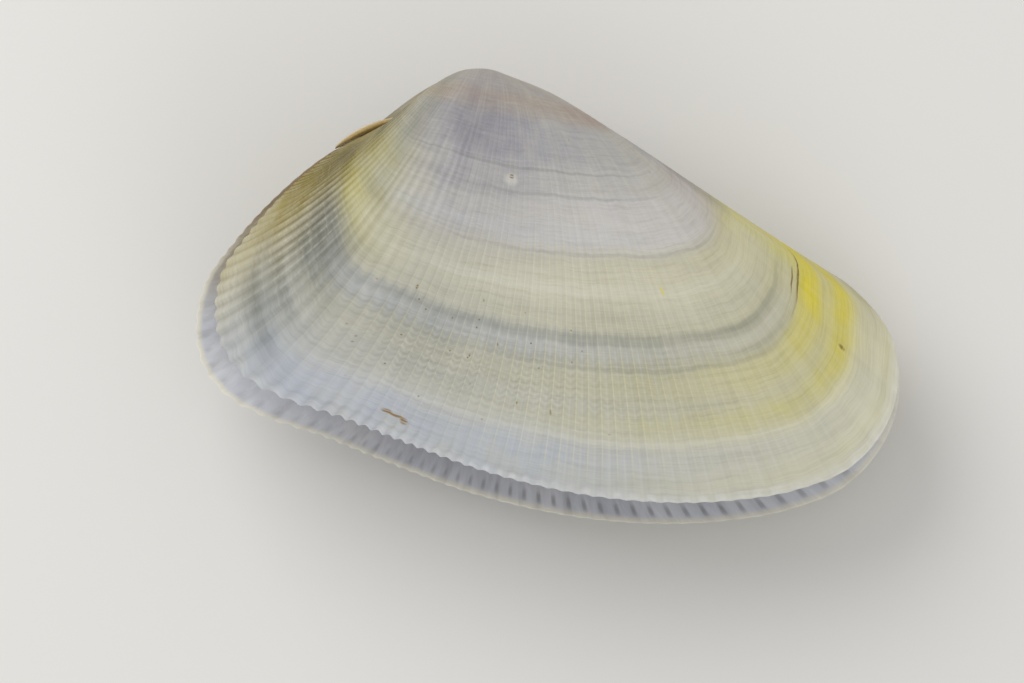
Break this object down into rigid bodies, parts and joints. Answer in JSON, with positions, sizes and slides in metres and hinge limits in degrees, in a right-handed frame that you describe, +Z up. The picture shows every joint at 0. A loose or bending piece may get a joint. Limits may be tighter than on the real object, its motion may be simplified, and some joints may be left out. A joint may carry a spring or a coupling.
{
  "type": "coquina clam shell",
  "caption": "A small wedge-shaped clam shell lying on one valve: ribbed valves with scalloped edges, held slightly agape by a short ligament behind the beaks.",
  "frame": {"origin": "Centre of the bounding box in plan, on the surface that the shell lies on.", "axes": "+Z up, away from that surface. +X along the shell's length to its long rounded front end. +Y towards the beaks and the ligament."},
  "size_m": [0.0204, 0.0124, 0.0085],
  "materials": {
    "right_valve": "satin shell, banded in cream, yellow and lavender grey",
    "left_valve": "satin shell outside, polished lavender grey inside",
    "ligament": "dry horny brown"
  },
  "bodies": {
    "root": {"right_valve": "right_valve", "left_valve": "left_valve", "ligament": "ligament"}
  },
  "joints": []
}
